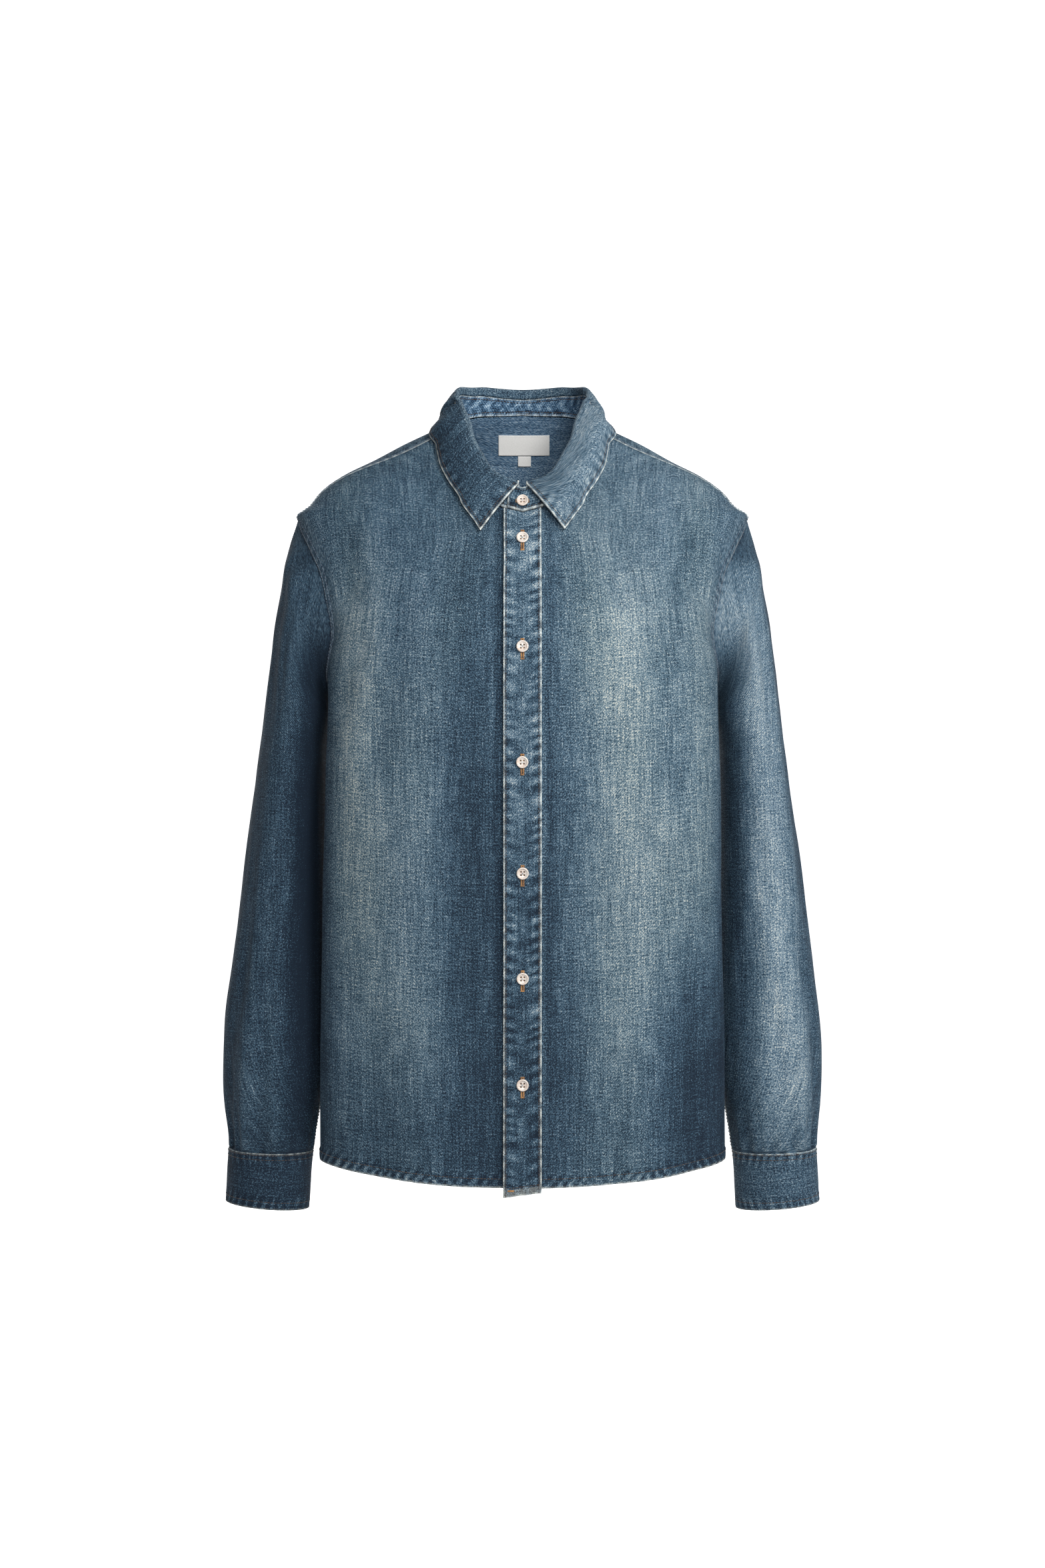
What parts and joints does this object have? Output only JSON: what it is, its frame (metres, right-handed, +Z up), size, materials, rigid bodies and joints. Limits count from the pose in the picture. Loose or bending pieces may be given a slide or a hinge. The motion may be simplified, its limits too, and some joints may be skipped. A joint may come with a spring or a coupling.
{
  "type": "long-sleeved denim shirt",
  "caption": "Long-sleeved denim shirt with a folded collar, buttoned placket and cuffs, filled out as if worn, hollow and open at neck, hem and cuffs",
  "frame": {"origin": "midway between the two points where the shoulders meet the neck, where a wearer or a form holds the shirt up", "axes": "+Z up, the buttoned front faces -Y, the wearer's left side is +X"},
  "size_m": [0.578, 0.25, 0.7999],
  "materials": {
    "denim": "washed mid-blue cotton denim twill, matte, faded over the chest and front",
    "worn_denim": "the same denim doubled and stitched, puckered and worn pale along its edges",
    "woven_tape": "bare off-white woven tape",
    "buttons": "cream shell-like resin with a soft gloss",
    "light_thread": "pale worn sewing thread",
    "tan_thread": "tan and brown topstitching and buttonhole thread"
  },
  "bodies": {
    "root": {"front_left": "denim", "front_right": "denim", "placket": "worn_denim", "back": "denim", "yoke": "denim", "label": "woven_tape", "size_tab": "woven_tape", "sleeve_left": "denim", "sleeve_right": "denim", "sleeve_placket_left": "worn_denim", "sleeve_placket_right": "worn_denim", "cuff_left": "worn_denim", "cuff_right": "worn_denim", "collar_stand": "worn_denim", "collar_leaf": "worn_denim", "button_collar": "buttons", "button_1": "buttons", "button_2": "buttons", "button_3": "buttons", "button_4": "buttons", "button_5": "buttons", "button_6": "buttons", "cuff_button_left": "buttons", "cuff_button_right": "buttons"}
  },
  "joints": []
}
